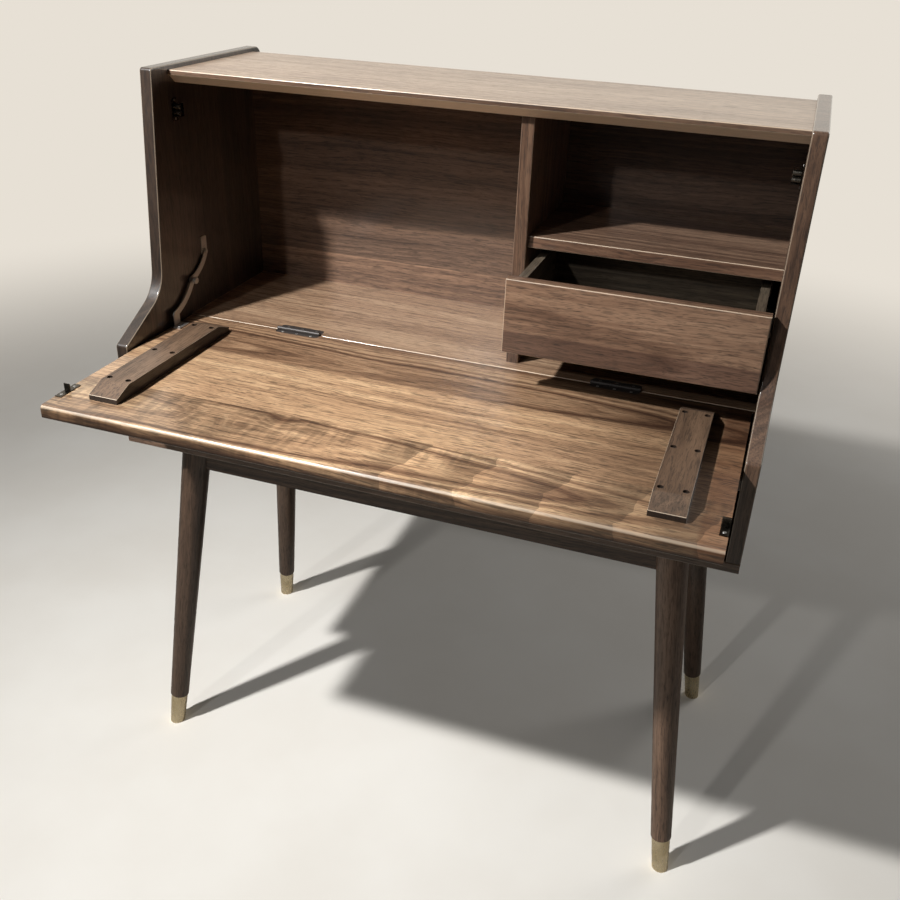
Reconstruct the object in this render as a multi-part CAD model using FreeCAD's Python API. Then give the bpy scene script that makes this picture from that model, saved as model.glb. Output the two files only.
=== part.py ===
import FreeCAD, Part
import math
import os
from FreeCAD import Vector

# Fall-front desk: a case with a divider, a shelf and a drawer on four splayed legs, and a flap
# that folds down on two butt hinges to become the front of the writing surface.
# Millimetres, X to the right, Y to the back, Z up. The flap is open and the drawer is pulled out.
# The origin is on the floor under the middle of the open desk.
# A depth is measured forwards from the back edges of the side panels.

# Case and side panels
case_width = 1000.0
panel_thickness = 20.8
panel_top = 1189.6
panel_nose_depth = 477.5
panel_nose_rise = 7.9
panel_bend_rise = 66.5
panel_bend_overhang = 74.5
panel_top_overhang = 43.6
panel_bend_radius = 60.0
panel_nose_radius = 7.0
panel_front_corner_radius = 5.0
panel_back_corner_radius = 17.0
panel_arris = 2.6

# Boards between the side panels
board_arris = 2.0
top_board_drop = 6.85
top_board_thickness = 20.4
top_board_setback = 0.9
top_board_lip = 7.0
top_board_undercut = 16.0
bottom_board_top = 631.4
bottom_board_thickness = 16.7
back_panel_inset = 28.0
back_panel_thickness = 9.0
writing_top = 781.0
ledge_thickness = 18.0
ledge_setback = 6.0
right_bay_width = 372.1
divider_thickness = 20.0
divider_setback = 24.4
shelf_height_share = 0.5407
shelf_thickness = 18.2
shelf_setback = 10.0

# Flap, its battens and their screws
hinge_line_depth = 292.4
hinge_line_gap = 1.0
flap_top_gap = 12.8
flap_thickness = 20.0
flap_rest_gap = 0.3
flap_side_gap = 3.25
flap_lip_radius = 7.0
batten_side_inset = 51.15
batten_width = 47.3
batten_thickness = 20.0
batten_start = 45.0
batten_length = 306.0
batten_nib = 8.0
batten_slope = 31.0
batten_arris = 1.5
screw_row_pitch = 112.0
screw_column_pitch = 31.7
screw_head_radius = 3.7
screw_hole_radius = 4.2
screw_hole_depth = 6.0
screw_head_height = 2.5
screw_shank_radius = 1.8
screw_length = 30.0

# Butt hinges
hinge_side_inset = 205.45
hinge_length = 78.0
hinge_axis_height = 2.0
knuckle_radius = 3.5
knuckle_count = 5
knuckle_gap = 0.3
knuckle_clearance = 0.5
hinge_plate_reach = 21.0
hinge_leaf_reach = 13.0
hinge_leaf_thickness = 2.0
hinge_corner_radius = 6.0
hinge_pin_radius = 1.5
pivot_clearance = 0.05
housing_clearance = 0.3

# Roller catches and the strikes on the flap
catch_tip_distance = 54.3
catch_setback = 5.4
catch_plate_thickness = 1.5
catch_plate_height = 35.0
catch_flange_thickness = 1.2
catch_width = 14.6
catch_back_reach = 8.5
catch_front_reach = 4.5
roller_radius = 3.8
roller_gap = 1.8
roller_axle_radius = 1.2
roller_cap_radius = 2.2
roller_cap_thickness = 0.8
roller_end_gap = 0.35
strike_thickness = 1.2
strike_plate_length = 44.0
strike_plate_width = 11.0
strike_tongue_height = 12.0
strike_tongue_width = 10.0
strike_tongue_thickness = 1.2
strike_tongue_rounding = 0.5

# Drawer
drawer_travel = 112.5
drawer_top_gap = 10.6
drawer_front_share = 0.599
drawer_front_thickness = 18.0
drawer_front_gap = 2.5
drawer_back_gap = 8.0
drawer_box_rise = 7.5
drawer_box_drop = 5.1
drawer_side_thickness = 13.0
drawer_bottom_thickness = 5.0
drawer_bottom_rise = 8.0
drawer_groove = 5.0

# Drawer slides
slide_width = 12.7
slide_height = 35.0
slide_back_gap = 5.0
slide_wall = 1.2
slide_lip = 9.5
slide_setback = 1.0
slide_plane_gap = 0.5
slide_height_share = 0.45

# Folding stay: pivots behind or in front of the hinge line and above the writing surface
stay_wall_pivot_back = 54.4
stay_wall_pivot_rise = 97.0
stay_elbow_back = 3.4
stay_elbow_rise = 61.0
stay_flap_pivot_front = 56.6
stay_flap_pivot_rise = 19.0
stay_plate = 2.0
stay_plane_gap = 0.5
stay_arm_width = 11.0
stay_arm_sagitta = 7.0
stay_bracket_width = 16.0
stay_bracket_rise = 27.0
stay_pin_radius = 2.0
stay_head_radius = 3.6
stay_head_height = 1.0
stay_foot_width = 13.0
stay_foot_length = 26.0

# Legs, ferrules and rails
leg_side_inset = 98.0
leg_front_inset = 55.7
leg_back_inset = 110.0
leg_front_splay_x = 72.5
leg_front_splay_y = 58.0
leg_back_splay_x = 68.5
leg_back_splay_y = 77.6
leg_top_radius = 24.5
leg_shoulder_radius = 17.0
leg_shoulder_rounding = 1.6
ferrule_height = 66.0
ferrule_top_radius = 15.4
ferrule_bottom_radius = 13.5
ferrule_wall = 1.2
ferrule_floor = 4.0
rail_height = 52.9
rail_thickness = 20.0
tenon_inset = 6.0
tenon_height = 34.0
tenon_thickness = 8.0

# Overrun of cutting tools past the faces that they cut
overrun = 5.0

# Depths and heights that follow from the sizes
panel_inner = case_width / 2 - panel_thickness
underframe_top = bottom_board_top - bottom_board_thickness
rail_bottom = underframe_top - rail_height
hinge_axis_z = writing_top + hinge_axis_height
flap_back_depth = hinge_line_depth + hinge_line_gap / 2
flap_tip_depth = hinge_line_depth + panel_top - flap_top_gap - hinge_axis_z
back_edge_y = flap_tip_depth / 2
hinge_axis_y = back_edge_y - hinge_line_depth
back_panel_face_depth = back_panel_inset + back_panel_thickness
ledge_top = writing_top - flap_thickness - flap_rest_gap
flap_half_width = panel_inner - flap_side_gap
batten_outer_edge = flap_half_width - batten_side_inset
batten_inner_edge = batten_outer_edge - batten_width
hinge_centre = flap_half_width - hinge_side_inset
divider_right = panel_inner - right_bay_width
divider_left = divider_right - divider_thickness
divider_depth = hinge_line_depth - divider_setback
top_board_top = panel_top - top_board_drop
top_board_bottom = top_board_top - top_board_thickness
shelf_top = writing_top + (top_board_bottom - writing_top) * shelf_height_share
shelf_bottom = shelf_top - shelf_thickness
shelf_depth = divider_depth - shelf_setback
top_board_depth = hinge_line_depth - top_board_setback
drawer_left = divider_right + slide_width
drawer_right = panel_inner - slide_width
drawer_front_top = shelf_bottom - drawer_top_gap
drawer_front_bottom = drawer_front_top - (shelf_bottom - writing_top) * drawer_front_share
drawer_front_depth = divider_depth + drawer_travel
drawer_box_depth = drawer_front_depth - drawer_front_thickness
drawer_box_bottom = drawer_front_bottom + drawer_box_rise
drawer_box_top = drawer_front_top - drawer_box_drop
drawer_box_length = divider_depth - drawer_front_thickness - drawer_back_gap - back_panel_face_depth
drawer_bottom_z = drawer_box_bottom + drawer_bottom_rise
slide_length = drawer_box_length - slide_back_gap
slide_centre_z = drawer_box_bottom + (drawer_box_top - drawer_box_bottom) * slide_height_share
roller_offset = roller_radius + roller_gap / 2
catch_depth = hinge_line_depth - catch_setback
strike_depth = flap_tip_depth - catch_tip_distance
catch_z = hinge_axis_z + strike_depth - hinge_line_depth
leg_top_x = case_width / 2 - leg_side_inset
leg_top_front_depth = panel_nose_depth - leg_front_inset


def y_at(depth):
    """Y of a point that lies depth in front of the side panels' back edges."""
    return back_edge_y - depth


def block(x_low, x_high, depth_back, depth_front, z_low, z_high):
    """Plain block between two X places, two depths and two heights."""
    corner = Vector(x_low, y_at(depth_front), z_low)
    return Part.makeBox(x_high - x_low, depth_front - depth_back, z_high - z_low, corner)


def rod(x_low, x_high, y, z, radius):
    """Round bar along X."""
    return Part.makeCylinder(radius, x_high - x_low, Vector(x_low, y, z), Vector(1, 0, 0))


def rounded_face(corners, place):
    """Flat face whose outline turns at each corner, given as two coordinates and a radius."""
    turns = []
    for index, (a, b, radius) in enumerate(corners):
        corner = Vector(a, b, 0)
        before = corners[index - 1]
        after = corners[(index + 1) % len(corners)]
        to_before = (Vector(before[0], before[1], 0) - corner).normalize()
        to_after = (Vector(after[0], after[1], 0) - corner).normalize()
        half_angle = to_before.getAngle(to_after) / 2
        reach = radius / math.tan(half_angle)
        inwards = (to_before + to_after).normalize()
        middle = corner + inwards * (radius / math.sin(half_angle) - radius)
        turns.append((corner + to_before * reach, middle, corner + to_after * reach, radius))
    edges = []
    for index, (start, middle, stop, radius) in enumerate(turns):
        if radius > 0:
            edges.append(Part.Arc(place(start), place(middle), place(stop)).toShape())
        following = turns[(index + 1) % len(turns)][0]
        if not stop.isEqual(following, FreeCAD.Base.Precision.confusion()):
            edges.append(Part.LineSegment(place(stop), place(following)).toShape())
    return Part.Face(Part.Wire(edges))


def side_profile(corners, x_low, x_high):
    """Solid along X whose outline is given as depths, heights and corner radii."""
    face = rounded_face(corners, lambda point: Vector(x_low, y_at(point.x), point.y))
    return face.extrude(Vector(x_high - x_low, 0, 0))


def board(x_low, x_high, depth_back, depth_front, z_low, z_high):
    """Board along X with its two front arrises rounded."""
    corners = [
        (depth_back, z_low, 0),
        (depth_front, z_low, board_arris),
        (depth_front, z_high, board_arris),
        (depth_back, z_high, 0),
    ]
    return side_profile(corners, x_low, x_high)


def mirrored(shape):
    """The same piece on the other side of the desk."""
    return shape.mirror(Vector(0, 0, 0), Vector(1, 0, 0))


def make_side_panel():
    """Left side panel, with softened edges along its front, top and back."""
    corners = [
        (0, bottom_board_top, 0),
        (panel_nose_depth, bottom_board_top, 0),
        (panel_nose_depth, writing_top + panel_nose_rise, panel_nose_radius),
        (hinge_line_depth + panel_bend_overhang, writing_top + panel_bend_rise, panel_bend_radius),
        (hinge_line_depth + panel_top_overhang, panel_top, panel_front_corner_radius),
        (0, panel_top, panel_back_corner_radius),
    ]
    panel = side_profile(corners, -case_width / 2, -panel_inner)
    arrises = []
    for edge in panel.Edges:
        box = edge.BoundBox
        runs_along_x = box.XLength > panel_thickness / 2
        at_foot = box.ZMax < bottom_board_top + panel_arris
        if not runs_along_x and not at_foot:
            arrises.append(edge)
    return panel.makeFillet(panel_arris, arrises)


def make_top_board():
    """Top board, whose front edge is undercut below a narrow lip."""
    corners = [
        (back_panel_inset, top_board_bottom, 0),
        (top_board_depth - top_board_undercut, top_board_bottom, board_arris),
        (top_board_depth, top_board_top - top_board_lip, board_arris),
        (top_board_depth, top_board_top, board_arris),
        (back_panel_inset, top_board_top, board_arris),
    ]
    return side_profile(corners, -panel_inner, panel_inner)


def make_bottom_board():
    """Bottom board, on which the side panels stand."""
    half_width = case_width / 2
    corners = [
        (0, underframe_top, 0),
        (panel_nose_depth, underframe_top, board_arris),
        (panel_nose_depth, bottom_board_top, board_arris),
        (0, bottom_board_top, 0),
    ]
    return side_profile(corners, -half_width, half_width)


def make_back_panel():
    """Back panel, between the side panels and under the top board."""
    return block(-panel_inner, panel_inner, back_panel_inset, back_panel_face_depth,
                 bottom_board_top, top_board_bottom)


def hinge_places():
    """X of the middle of each hinge."""
    return {"left": -hinge_centre, "right": hinge_centre}


def hinge_recess(centre, reach_back, reach_front):
    """Mortise for one half of a hinge, with room for the knuckles."""
    x_low = centre - hinge_length / 2
    x_high = centre + hinge_length / 2
    mortise = leaf_plate(x_low, x_high, reach_back, reach_front, overrun)
    groove = rod(x_low, x_high, hinge_axis_y, hinge_axis_z, knuckle_radius + knuckle_clearance)
    return mortise.fuse(groove)


def leaf_plate(x_low, x_high, reach_back, reach_front, rise):
    """Hinge plate, flush with the surface or raised by rise, with its far corners rounded."""
    y_line = hinge_axis_y
    bottom = writing_top - hinge_leaf_thickness
    back_radius = hinge_corner_radius if reach_back > reach_front else 0
    front_radius = hinge_corner_radius - back_radius
    corners = [
        (x_low, y_line - reach_front, front_radius),
        (x_high, y_line - reach_front, front_radius),
        (x_high, y_line + reach_back, back_radius),
        (x_low, y_line + reach_back, back_radius),
    ]
    face = rounded_face(corners, lambda point: Vector(point.x, point.y, bottom))
    return face.extrude(Vector(0, 0, hinge_leaf_thickness + rise))


def make_writing_board():
    """Fixed back part of the writing surface, let in for the hinges."""
    shape = board(-panel_inner, panel_inner, back_panel_face_depth,
                  hinge_line_depth - hinge_line_gap / 2, ledge_top, writing_top)
    for centre in hinge_places().values():
        shape = shape.cut(hinge_recess(centre, hinge_plate_reach, 0))
    return shape


def make_ledge_board():
    """Sill under the writing board, which the open flap rests on."""
    return board(-panel_inner, panel_inner, back_panel_face_depth,
                 panel_nose_depth - ledge_setback, ledge_top - ledge_thickness, ledge_top)


def make_divider():
    """Upright divider with its two front arrises rounded."""
    corners = [
        (divider_left, y_at(back_panel_face_depth), 0),
        (divider_left, y_at(divider_depth), board_arris),
        (divider_right, y_at(divider_depth), board_arris),
        (divider_right, y_at(back_panel_face_depth), 0),
    ]
    face = rounded_face(corners, lambda point: Vector(point.x, point.y, writing_top))
    return face.extrude(Vector(0, 0, top_board_bottom - writing_top))


def make_shelf():
    """Shelf between the divider and the right side panel."""
    return board(divider_right, panel_inner, back_panel_face_depth, shelf_depth,
                 shelf_bottom, shelf_top)


def knuckles(centre, first, clearance):
    """Every second knuckle of a hinge, counted from first, grown by a clearance."""
    pitch = hinge_length / knuckle_count
    x_low = centre - hinge_length / 2
    barrels = []
    for index in range(first, knuckle_count, 2):
        start = x_low + index * pitch + knuckle_gap / 2 - clearance
        stop = x_low + (index + 1) * pitch - knuckle_gap / 2 + clearance
        barrels.append(rod(start, stop, hinge_axis_y, hinge_axis_z, knuckle_radius + clearance))
    return barrels


def make_hinge_half(centre, first, reach_back, reach_front, bore_radius):
    """One half of a hinge: its plate, its knuckles and the bore through them."""
    x_low = centre - hinge_length / 2
    x_high = centre + hinge_length / 2
    shape = leaf_plate(x_low + housing_clearance, x_high - housing_clearance,
                       reach_back - housing_clearance, reach_front - housing_clearance, 0)
    for other in knuckles(centre, 1 - first, housing_clearance):
        shape = shape.cut(other)
    shape = shape.multiFuse(knuckles(centre, first, 0))
    bore = rod(x_low - overrun, x_high + overrun, hinge_axis_y, hinge_axis_z, bore_radius)
    return shape.cut(bore).removeSplitter()


def make_hinge_pin(centre):
    """Pin along the whole hinge."""
    half = hinge_length / 2
    return rod(centre - half, centre + half, hinge_axis_y, hinge_axis_z, hinge_pin_radius)


def make_flap_board():
    """Flap, with a rounded lip along its free edge, let in for the hinges and screws."""
    corners = [
        (flap_back_depth, writing_top - flap_thickness, board_arris),
        (flap_tip_depth, writing_top - flap_thickness, board_arris),
        (flap_tip_depth, writing_top, flap_lip_radius),
        (flap_back_depth, writing_top, board_arris),
    ]
    shape = side_profile(corners, -flap_half_width, flap_half_width)
    for centre in hinge_places().values():
        shape = shape.cut(hinge_recess(centre, 0, hinge_leaf_reach))
    screws = make_batten_screws()
    return shape.cut(screws).cut(mirrored(screws))


def make_strike():
    """Left strike: its plate, and the tongue that stands up between the catch's rollers."""
    x_edge = -flap_half_width
    half_plate = strike_plate_length / 2
    plate = block(x_edge, x_edge + strike_plate_width, strike_depth - half_plate,
                  strike_depth + half_plate, writing_top, writing_top + strike_thickness)
    half = strike_tongue_thickness / 2
    tip = writing_top + strike_tongue_height
    tongue = block(x_edge, x_edge + strike_tongue_width, strike_depth - half,
                   strike_depth + half, writing_top, tip)
    tip_edges = [edge for edge in tongue.Edges
                 if edge.BoundBox.ZMin > tip - half and edge.BoundBox.XLength > half]
    return plate.fuse(tongue.makeFillet(strike_tongue_rounding, tip_edges)).removeSplitter()


def screw_places():
    """X and Y of the six screws of the left batten."""
    centre_x = batten_width / 2 - batten_outer_edge
    centre_y = y_at(hinge_line_depth + batten_start + batten_length / 2)
    return [(centre_x + column * screw_column_pitch / 2, centre_y + row * screw_row_pitch)
            for row in (-1, 0, 1) for column in (-1, 1)]


def make_batten():
    """Left batten: both ends slope down to a nib, and six counterbores take the screws."""
    start = hinge_line_depth + batten_start
    stop = start + batten_length
    top = writing_top + batten_thickness
    corners = [
        (start, writing_top, 0),
        (start, writing_top + batten_nib, batten_arris),
        (start + batten_slope, top, batten_arris),
        (stop - batten_slope, top, batten_arris),
        (stop, writing_top + batten_nib, batten_arris),
        (stop, writing_top, 0),
    ]
    shape = side_profile(corners, -batten_outer_edge, -batten_inner_edge)
    long_edges = [edge for edge in shape.Edges
                  if edge.BoundBox.XLength < batten_arris and edge.BoundBox.ZMin > top - batten_arris
                  and edge.BoundBox.YLength > batten_slope]
    shape = shape.makeFillet(batten_arris / 2, long_edges)
    for x, y in screw_places():
        floor = Vector(x, y, top - screw_hole_depth)
        shape = shape.cut(Part.makeCylinder(screw_hole_radius, screw_hole_depth + overrun, floor))
        shape = shape.cut(screw_at(x, y))
    return shape


def screw_at(x, y):
    """One batten screw, with its head at the bottom of its counterbore."""
    seat = writing_top + batten_thickness - screw_hole_depth
    head = Part.makeCylinder(screw_head_radius, screw_head_height, Vector(x, y, seat))
    shank_length = screw_length - screw_head_height
    shank = Part.makeCylinder(screw_shank_radius, shank_length, Vector(x, y, seat - shank_length))
    return head.fuse(shank)


def make_batten_screws():
    """The left batten's six screws."""
    return Part.makeCompound([screw_at(x, y) for x, y in screw_places()])


def make_catch():
    """Left roller catch's housing: wall plate, a web and two flanges, and two headed axles."""
    x_wall = -panel_inner
    x_free = x_wall + catch_width
    x_cap = x_free - roller_cap_thickness
    front = catch_depth + catch_front_reach
    back = catch_depth - catch_back_reach
    half_height = roller_offset + roller_radius + roller_end_gap + catch_flange_thickness
    z_low = catch_z - half_height
    z_high = catch_z + half_height
    shape = block(x_wall, x_wall + catch_plate_thickness, back, front,
                  catch_z - catch_plate_height / 2, catch_z + catch_plate_height / 2)
    pieces = [
        block(x_wall, x_cap, back, back + catch_plate_thickness, z_low, z_high),
        block(x_wall, x_cap, back, front, z_low, z_low + catch_flange_thickness),
        block(x_wall, x_cap, back, front, z_high - catch_flange_thickness, z_high),
    ]
    for side in (-1, 1):
        z = catch_z + side * roller_offset
        pieces.append(rod(x_wall, x_free, y_at(catch_depth), z, roller_axle_radius))
        pieces.append(rod(x_cap, x_free, y_at(catch_depth), z, roller_cap_radius))
    return shape.multiFuse(pieces).removeSplitter()


def make_roller(side):
    """Lower (side -1) or upper (side 1) roller of the left catch."""
    x_low = -panel_inner + catch_plate_thickness + roller_end_gap
    x_high = -panel_inner + catch_width - roller_cap_thickness - roller_end_gap
    y = y_at(catch_depth)
    z = catch_z + side * roller_offset
    bore_radius = roller_axle_radius + pivot_clearance
    barrel = rod(x_low, x_high, y, z, roller_radius)
    return barrel.cut(rod(x_low - overrun, x_high + overrun, y, z, bore_radius))


def make_drawer_front():
    """Drawer front, with softened edges round its face and a groove for the bottom."""
    x_low = divider_right + drawer_front_gap
    x_high = panel_inner - drawer_front_gap
    shape = block(x_low, x_high, drawer_box_depth, drawer_front_depth,
                  drawer_front_bottom, drawer_front_top)
    face_y = y_at(drawer_front_depth)
    face_edges = [edge for edge in shape.Edges if edge.BoundBox.YMax < face_y + board_arris]
    shape = shape.makeFillet(board_arris, face_edges)
    return shape.cut(make_drawer_bottom())


def make_drawer_side(x_low):
    """Side of the drawer whose left face is at x_low, grooved for the bottom."""
    shape = block(x_low, x_low + drawer_side_thickness,
                  drawer_box_depth - drawer_box_length, drawer_box_depth,
                  drawer_box_bottom, drawer_box_top)
    return shape.cut(make_drawer_bottom())


def make_drawer_back():
    """Back of the drawer, between its sides and over its bottom."""
    back = drawer_box_depth - drawer_box_length
    return block(drawer_left + drawer_side_thickness, drawer_right - drawer_side_thickness,
                 back, back + drawer_side_thickness,
                 drawer_bottom_z + drawer_bottom_thickness, drawer_box_top)


def make_drawer_bottom():
    """Bottom of the drawer, held in the grooves of its front and sides."""
    inset = drawer_side_thickness - drawer_groove
    return block(drawer_left + inset, drawer_right - inset,
                 drawer_box_depth - drawer_box_length, drawer_box_depth + drawer_groove,
                 drawer_bottom_z, drawer_bottom_z + drawer_bottom_thickness)


def channel(x_web, x_lips, depth_back, depth_front, half_height):
    """Channel along Y with its web at one X and its lips pointing to the other."""
    z_low = slide_centre_z - half_height
    z_high = slide_centre_z + half_height
    turn = math.copysign(1, x_lips - x_web)
    x_inside = x_web + turn * slide_wall
    x_past = x_lips + turn * overrun
    shape = block(min(x_web, x_lips), max(x_web, x_lips), depth_back, depth_front, z_low, z_high)
    hollow = block(min(x_inside, x_past), max(x_inside, x_past), depth_back - overrun,
                   depth_front + overrun, z_low + slide_wall, z_high - slide_wall)
    return shape.cut(hollow)


def make_slide_rail(x_wall, turn):
    """Fixed half of a drawer slide, on a wall at x_wall; turn is the way to the drawer."""
    front = divider_depth - drawer_front_thickness - slide_setback
    return channel(x_wall, x_wall + turn * (slide_wall + slide_lip),
                   front - slide_length, front, slide_height / 2)


def make_slide_runner(x_wall, turn):
    """Moving half of a drawer slide, between the rail's lips and against the drawer's side."""
    x_drawer = x_wall + turn * slide_width
    half_height = slide_height / 2 - slide_wall - housing_clearance
    return channel(x_drawer, x_drawer - turn * (slide_wall + slide_lip - slide_plane_gap),
                   drawer_box_depth - slide_length, drawer_box_depth, half_height)


def stay_pivots():
    """Wall pivot, elbow and flap pivot of the stay, in its plane."""
    line = hinge_axis_y
    return (
        Vector(0, line + stay_wall_pivot_back, writing_top + stay_wall_pivot_rise),
        Vector(0, line + stay_elbow_back, writing_top + stay_elbow_rise),
        Vector(0, line - stay_flap_pivot_front, writing_top + stay_flap_pivot_rise),
    )


def curved_bar(start, stop, x_low):
    """Flat bar with round ends that bows backwards and down between two pivots."""
    chord = stop - start
    along = Vector(chord).normalize()
    bow = Vector(0, -along.z, along.y)
    sagitta = stay_arm_sagitta
    radius = (chord.Length ** 2 / 4 + sagitta ** 2) / (2 * sagitta)
    centre = (start + stop) * 0.5 + bow * (sagitta - radius)
    half_width = stay_arm_width / 2
    from_start = (start - centre).normalize()
    from_stop = (stop - centre).normalize()
    start_tangent = Vector(0, from_start.z, -from_start.y)
    stop_tangent = Vector(0, from_stop.z, -from_stop.y)
    if start_tangent.dot(along) > 0:
        start_tangent = start_tangent.negative()
    if stop_tangent.dot(along) < 0:
        stop_tangent = stop_tangent.negative()
    plane = Vector(x_low, 0, 0)
    outer = radius + half_width
    inner = radius - half_width
    points = [
        centre + from_start * outer, centre + bow * outer, centre + from_stop * outer,
        stop + stop_tangent * half_width,
        centre + from_stop * inner, centre + bow * inner, centre + from_start * inner,
        start + start_tangent * half_width,
    ]
    places = [plane + point for point in points]
    edges = []
    for first in range(0, len(places), 2):
        middle = places[first + 1]
        last = places[(first + 2) % len(places)]
        edges.append(Part.Arc(places[first], middle, last).toShape())
    return Part.Face(Part.Wire(edges)).extrude(Vector(stay_plate, 0, 0))


def stay_planes():
    """Lowest X of the wall bracket, upper arm, lower arm and flap bracket, side by side."""
    step = stay_plate + stay_plane_gap
    return [-panel_inner + index * step for index in range(4)]


def make_stay_upper_arm():
    """Upper arm, bored for the wall bracket's pin, with the elbow rivet's head."""
    wall_pivot, elbow, flap_pivot = stay_pivots()
    x_low = stay_planes()[1]
    shape = curved_bar(wall_pivot, elbow, x_low)
    bore_radius = stay_pin_radius + pivot_clearance
    shape = shape.cut(rod(x_low - overrun, x_low + overrun, wall_pivot.y, wall_pivot.z, bore_radius))
    return shape.fuse(rod(x_low - stay_head_height, x_low, elbow.y, elbow.z, stay_head_radius))


def make_stay_lower_arm():
    """Lower arm, bored for the flap bracket's pin, with the elbow rivet's other head."""
    wall_pivot, elbow, flap_pivot = stay_pivots()
    x_low = stay_planes()[2]
    x_high = x_low + stay_plate
    shape = curved_bar(elbow, flap_pivot, x_low)
    bore_radius = stay_pin_radius + pivot_clearance
    shape = shape.cut(rod(x_low - overrun, x_low + overrun, flap_pivot.y, flap_pivot.z, bore_radius))
    return shape.fuse(rod(x_high, x_high + stay_head_height, elbow.y, elbow.z, stay_head_radius))


def make_stay_wall_bracket():
    """Plate on the left side panel with the pin that carries the upper arm."""
    pivot = stay_pivots()[0]
    x_low, x_arm = stay_planes()[:2]
    half = stay_bracket_width / 2
    corners = [
        (pivot.y - half, pivot.z - half, half),
        (pivot.y + half, pivot.z - half, half),
        (pivot.y + half, pivot.z + stay_bracket_rise, stay_head_radius),
        (pivot.y - half, pivot.z + stay_bracket_rise, stay_head_radius),
    ]
    face = rounded_face(corners, lambda point: Vector(x_low, point.x, point.y))
    plate = face.extrude(Vector(stay_plate, 0, 0))
    head_start = x_arm + stay_plate + stay_plane_gap / 2
    pin = rod(x_low, head_start, pivot.y, pivot.z, stay_pin_radius)
    head = rod(head_start, head_start + stay_head_height, pivot.y, pivot.z, stay_head_radius)
    return plate.multiFuse([pin, head])


def make_stay_flap_bracket():
    """Angle on the flap with the pin that carries the lower arm."""
    pivot = stay_pivots()[2]
    x_arm, x_low = stay_planes()[2:]
    x_high = x_low + stay_plate
    half = stay_bracket_width / 2
    corners = [
        (pivot.y - half, writing_top, 0),
        (pivot.y + half, writing_top, 0),
        (pivot.y + half, pivot.z + half, half),
        (pivot.y - half, pivot.z + half, half),
    ]
    face = rounded_face(corners, lambda point: Vector(x_low, point.x, point.y))
    plate = face.extrude(Vector(stay_plate, 0, 0))
    depth = hinge_line_depth + stay_flap_pivot_front
    foot = block(x_low, x_high + stay_foot_width, depth - stay_foot_length / 2,
                 depth + stay_foot_length / 2, writing_top, writing_top + stay_plate)
    head_end = x_arm - stay_plane_gap / 2
    pin = rod(head_end, x_high, pivot.y, pivot.z, stay_pin_radius)
    head = rod(head_end - stay_head_height, head_end, pivot.y, pivot.z, stay_head_radius)
    return plate.multiFuse([foot, pin, head]).removeSplitter()


def leg_ends(is_front):
    """Points where the left leg's axis meets the floor and the bottom board."""
    top_y = y_at(leg_top_front_depth if is_front else leg_back_inset)
    splay_x = leg_front_splay_x if is_front else leg_back_splay_x
    splay_y = -leg_front_splay_y if is_front else leg_back_splay_y
    return (Vector(-leg_top_x - splay_x, top_y + splay_y, 0),
            Vector(-leg_top_x, top_y, underframe_top))


def turned(corners, foot, top):
    """Solid turned about the line from foot to top, cut level at the floor and the board."""
    face = rounded_face(corners, lambda point: Vector(point.x, 0, point.y))
    shape = face.revolve(Vector(0, 0, 0), Vector(0, 0, 1), 360)
    shape.Placement = FreeCAD.Placement(foot, FreeCAD.Rotation(Vector(0, 0, 1), top - foot))
    room = block(-case_width, 0, 0, flap_tip_depth, 0, underframe_top)
    return shape.common(room)


def make_leg_blank(is_front):
    """Left leg before its mortises: a taper with a rounded shoulder over a spigot."""
    foot, top = leg_ends(is_front)
    length = (top - foot).Length
    taper = (leg_top_radius - leg_shoulder_radius) / (length - ferrule_height)
    corners = [
        (0, ferrule_floor, 0),
        (ferrule_radius(ferrule_floor) - ferrule_wall, ferrule_floor, 0),
        (ferrule_radius(ferrule_height) - ferrule_wall, ferrule_height, 0),
        (leg_shoulder_radius, ferrule_height, leg_shoulder_rounding),
        (leg_top_radius + taper * leg_top_radius, length + leg_top_radius, 0),
        (0, length + leg_top_radius, 0),
    ]
    return turned(corners, foot, top)


def ferrule_radius(height):
    """Outer radius of a ferrule at a height along its axis."""
    slope = (ferrule_top_radius - ferrule_bottom_radius) / ferrule_height
    return ferrule_bottom_radius + slope * height


def make_ferrule(is_front):
    """Left ferrule: a closed tapered sleeve round the leg's spigot."""
    foot, top = leg_ends(is_front)
    corners = [
        (0, -overrun, 0),
        (ferrule_radius(-overrun), -overrun, 0),
        (ferrule_top_radius, ferrule_height, 0),
        (0, ferrule_height, 0),
    ]
    return turned(corners, foot, top).cut(make_leg_blank(is_front))


def make_cross_rail(is_front):
    """Front or back rail, its ends shaped to the legs and tenoned into them."""
    depth = leg_top_front_depth if is_front else leg_back_inset
    rail = block(-leg_top_x, leg_top_x, depth - rail_thickness / 2, depth + rail_thickness / 2,
                 rail_bottom, underframe_top)
    leg = make_leg_blank(is_front)
    middle = underframe_top - rail_height / 2
    tenon_x = leg_top_x - tenon_inset
    tenon = block(-tenon_x, tenon_x, depth - tenon_thickness / 2, depth + tenon_thickness / 2,
                  middle - tenon_height / 2, middle + tenon_height / 2)
    return rail.cut(leg).cut(mirrored(leg)).fuse(tenon).removeSplitter()


def make_side_rail():
    """Left rail between the front and back legs, tenoned into them."""
    half = rail_thickness / 2
    rail = block(-leg_top_x - half, half - leg_top_x, leg_back_inset, leg_top_front_depth,
                 rail_bottom, underframe_top)
    middle = underframe_top - rail_height / 2
    tenon = block(-leg_top_x - tenon_thickness / 2, tenon_thickness / 2 - leg_top_x,
                  leg_back_inset + tenon_inset, leg_top_front_depth - tenon_inset,
                  middle - tenon_height / 2, middle + tenon_height / 2)
    trimmed = rail.cut(make_leg_blank(True)).cut(make_leg_blank(False))
    return trimmed.fuse(tenon).removeSplitter()


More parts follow.
